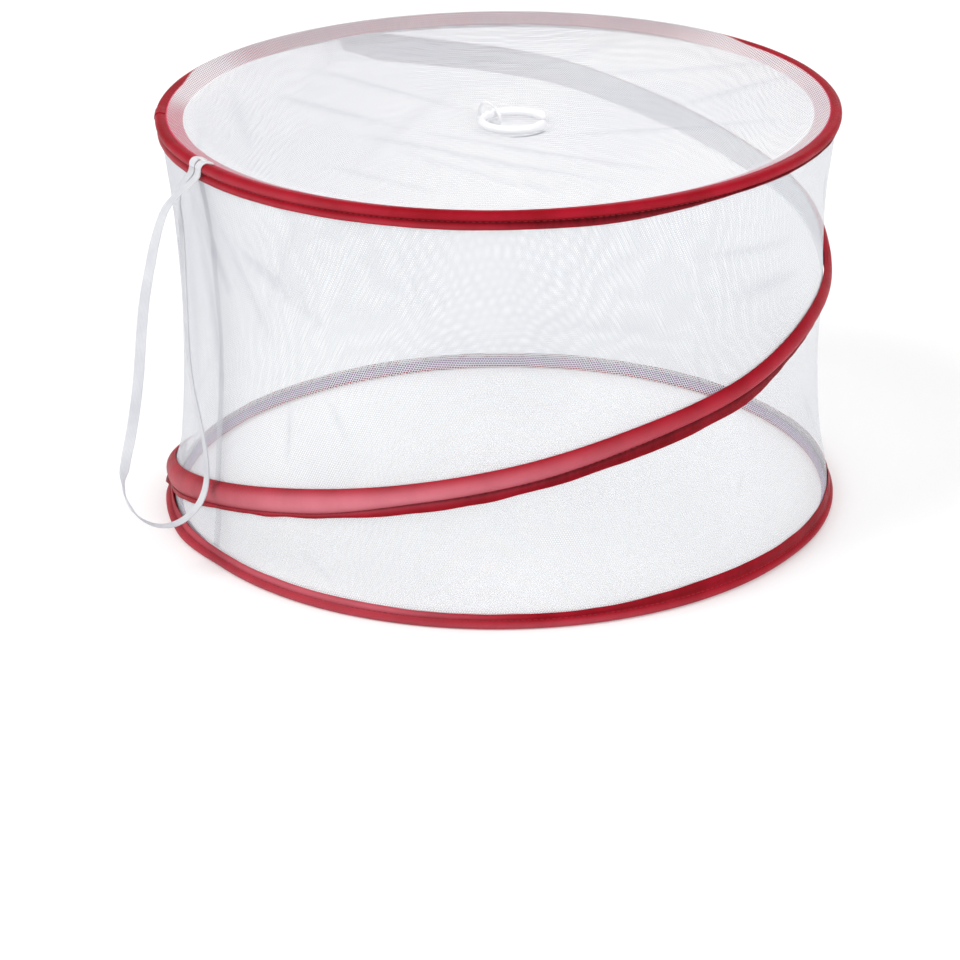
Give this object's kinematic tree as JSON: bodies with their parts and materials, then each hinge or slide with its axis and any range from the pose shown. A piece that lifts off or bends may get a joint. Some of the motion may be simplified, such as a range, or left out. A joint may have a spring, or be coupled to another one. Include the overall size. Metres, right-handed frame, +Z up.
{
  "type": "pop-up mesh food cover",
  "caption": "Round pop-up food cover of white net on spring wire hoops and a rising wire spiral in red tape, with an elastic strap loop and a small hook on its lid.",
  "frame": {"origin": "centre of the foot ring, on the surface the cover stands on", "axes": "+Z up through the middle of the lid, -Y towards the front, where the spiral is halfway up its climb"},
  "size_m": [0.4158, 0.4, 0.2472],
  "materials": {
    "red_satin_tape": "satin polyester tape",
    "white_net": "fine open net",
    "spring_steel": "drawn wire",
    "white_plastic": "moulded, satin gloss",
    "white_elastic": "woven elastic",
    "white_thread": "twisted cord"
  },
  "bodies": {
    "base": {"foot_ring_wire": "spring_steel", "foot_ring_ferrule": "spring_steel", "foot_binding": "red_satin_tape", "wall_net": "white_net", "wall_seam": "white_net", "helix_binding": "red_satin_tape", "helix_wire": "spring_steel", "helix_lower_cap": "white_plastic", "helix_upper_cap": "white_plastic"},
    "top": {"rim_ring_wire": "spring_steel", "rim_ring_ferrule": "spring_steel", "rim_binding": "red_satin_tape", "top_net": "white_net", "strap_sewn_ends": "white_elastic", "strap_bar_tack": "white_thread", "hook_tether": "white_thread", "tether_knot": "white_thread"},
    "strap": {"elastic_strap": "white_elastic"},
    "hook": {"hanging_hook": "white_plastic"}
  },
  "joints": [
    {"name": "collapse", "type": "slide", "parent": "base", "child": "top", "axis": [0, 0, 1], "range_m": [-0.224, 0], "stiffness_N_per_m": 40, "springref_m": 0.05, "deforming": ["wall_net", "wall_seam", "helix_binding", "helix_wire", "helix_lower_cap", "helix_upper_cap"]},
    {"name": "strap_swing", "type": "hinge", "parent": "top", "child": "strap", "pos_m": [-0.16818, -0.10922, 0.2413], "axis": [-0.5446, 0.8387, 0], "range_deg": [0, 90]},
    {"name": "hook_lift", "type": "hinge", "parent": "top", "child": "hook", "pos_m": [-0.00299, -0.00323, 0.23869], "axis": [-0.766, -0.6428, 0], "range_deg": [0, 90]}
  ],
  "couplings": [
    {"joint": "strap_swing", "follows": "collapse", "rad_per_m": -7}
  ]
}
